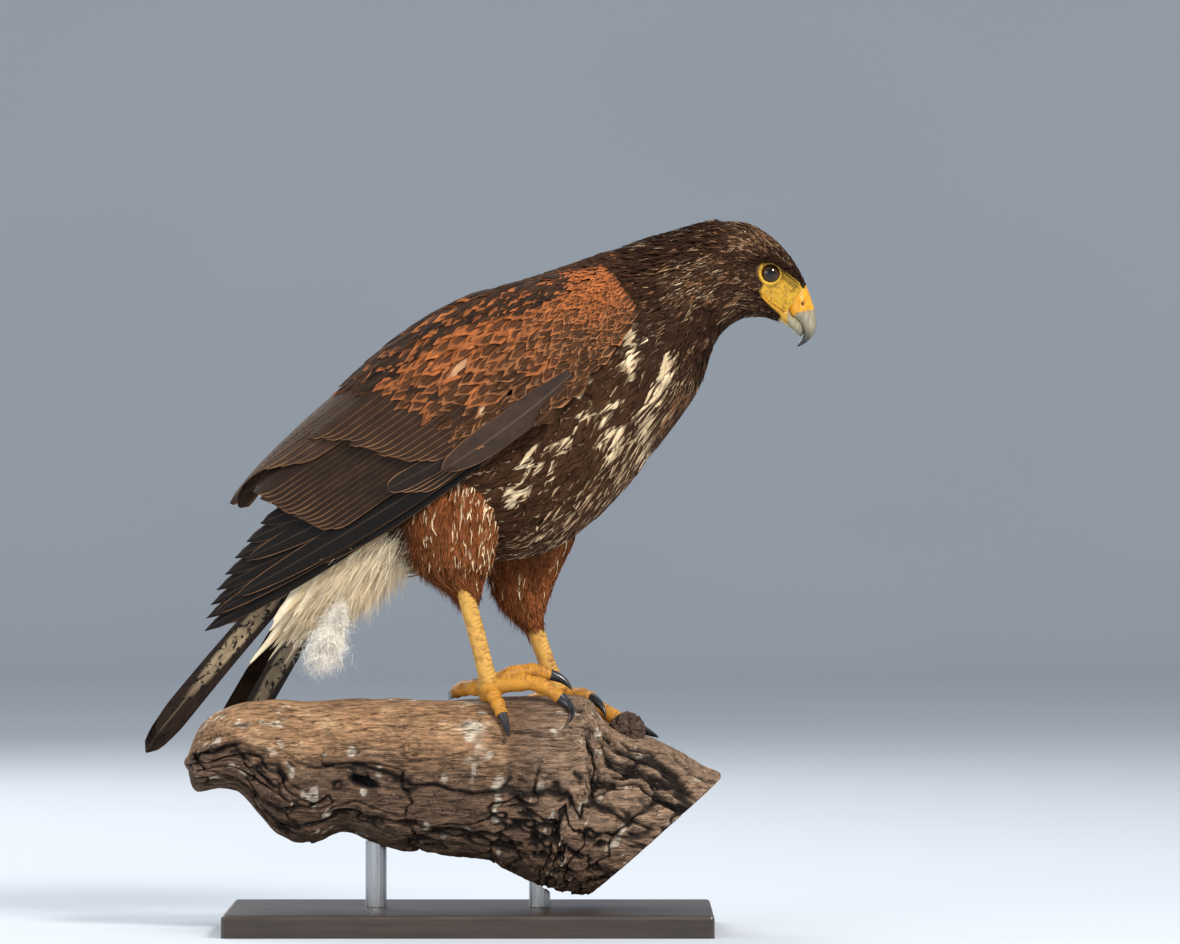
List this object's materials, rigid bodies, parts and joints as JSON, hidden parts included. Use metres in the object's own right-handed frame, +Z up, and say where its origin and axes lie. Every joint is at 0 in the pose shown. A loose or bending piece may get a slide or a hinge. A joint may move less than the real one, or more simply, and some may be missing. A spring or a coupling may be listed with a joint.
{
  "type": "harris hawk model",
  "caption": "Life-size still model of a young harris hawk, standing with its head lowered on a cut length of dead branch, which a plain display stand holds.",
  "frame": {"origin": "centre of the underside of the stand's base", "axes": "+X the way the bird's head looks, +Z up, -Y out of its right side, which is the side that the picture shows"},
  "size_m": [0.4459, 0.19, 0.4663],
  "materials": {
    "plumage": "matte feathers, dark brown with tawny and cream streaks",
    "wing": "matte to faintly glossy feathers, chestnut shoulders and dark brown flight feathers",
    "tail": "flat feathers, pale below with dark bars, dark above",
    "down": "soft loose cream-white feathers",
    "rufous": "soft chestnut feathers with cream flecks",
    "leg_skin": "scaly yellow skin",
    "bill": "smooth horn, blue-grey to black at the tip, yellow at the base",
    "eye": "wet gloss, dark brown",
    "claw": "smooth black horn",
    "bark": "weathered, furrowed dead wood",
    "stand": "satin dark stain",
    "rod": "satin"
  },
  "bodies": {
    "root": {"head": "plumage", "eye_right": "eye", "eye_left": "eye", "bill_upper": "bill", "bill_lower": "bill", "neck": "plumage", "torso": "plumage", "wing_right": "wing", "wing_left": "wing", "tail": "tail", "undertail_coverts": "down", "thigh_right": "rufous", "thigh_left": "rufous", "tarsus_right": "leg_skin", "tarsus_left": "leg_skin", "foot_right": "leg_skin", "foot_left": "leg_skin", "claw_right_1": "claw", "claw_right_2": "claw", "claw_right_3": "claw", "claw_right_4": "claw", "claw_left_1": "claw", "claw_left_2": "claw", "claw_left_3": "claw", "claw_left_4": "claw", "perch": "bark", "stand_base": "stand", "stand_rod_rear": "rod", "stand_rod_front": "rod"}
  },
  "joints": []
}
